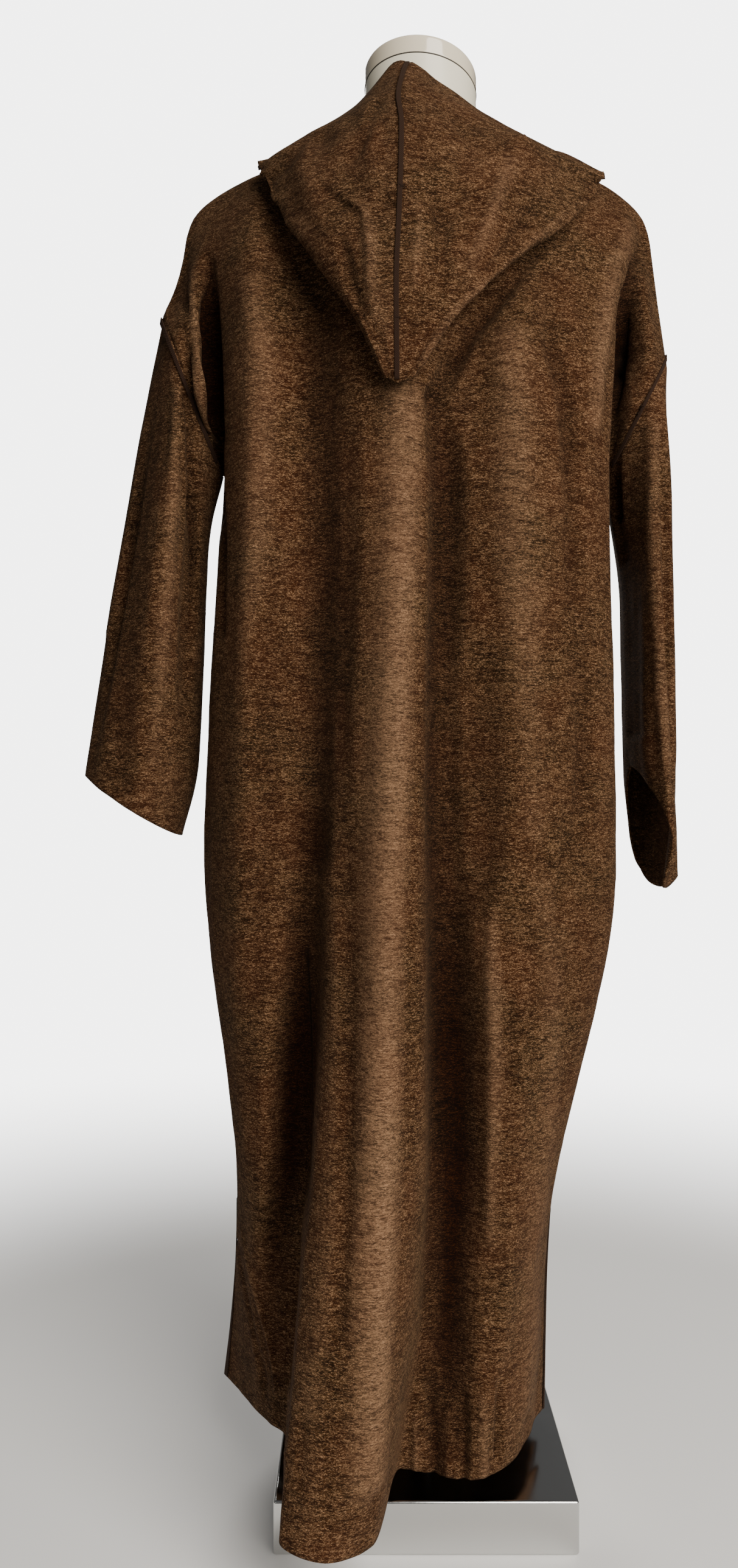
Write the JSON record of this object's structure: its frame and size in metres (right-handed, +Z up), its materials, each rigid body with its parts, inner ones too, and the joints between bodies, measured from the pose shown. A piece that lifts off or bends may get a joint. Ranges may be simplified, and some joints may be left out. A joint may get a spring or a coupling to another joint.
{
  "type": "djellaba robe on dress form",
  "caption": "Long hooded wool robe with wide straight sleeves, side slits and a pointed hood hanging down its back, on a limbless dress form with a pole and square base.",
  "frame": {"origin": "floor level under the middle of the stand's square base, which is under the pole", "axes": "+Z up, the robe's front faces -Y, its left side is +X"},
  "size_m": [0.673, 0.4606, 1.5915],
  "materials": {
    "wool": "brushed brown melange wool",
    "braid": "dark brown cord braid",
    "form": "cream satin shell",
    "cap": "glossy cream neck cap",
    "steel": "polished steel"
  },
  "bodies": {
    "root": {"back_panel": "wool", "front_panel": "wool", "sleeve_left": "wool", "sleeve_right": "wool", "hood_left": "wool", "hood_right": "wool", "hood_seam_braid": "braid", "armhole_braid_left": "braid", "armhole_braid_right": "braid", "slit_braid_back_left": "braid", "slit_braid_back_right": "braid", "slit_braid_front_left": "braid", "slit_braid_front_right": "braid", "neck_braid": "braid", "form_torso": "form", "neck_cap": "cap", "stand_pole": "steel", "stand_base": "steel"}
  },
  "joints": []
}
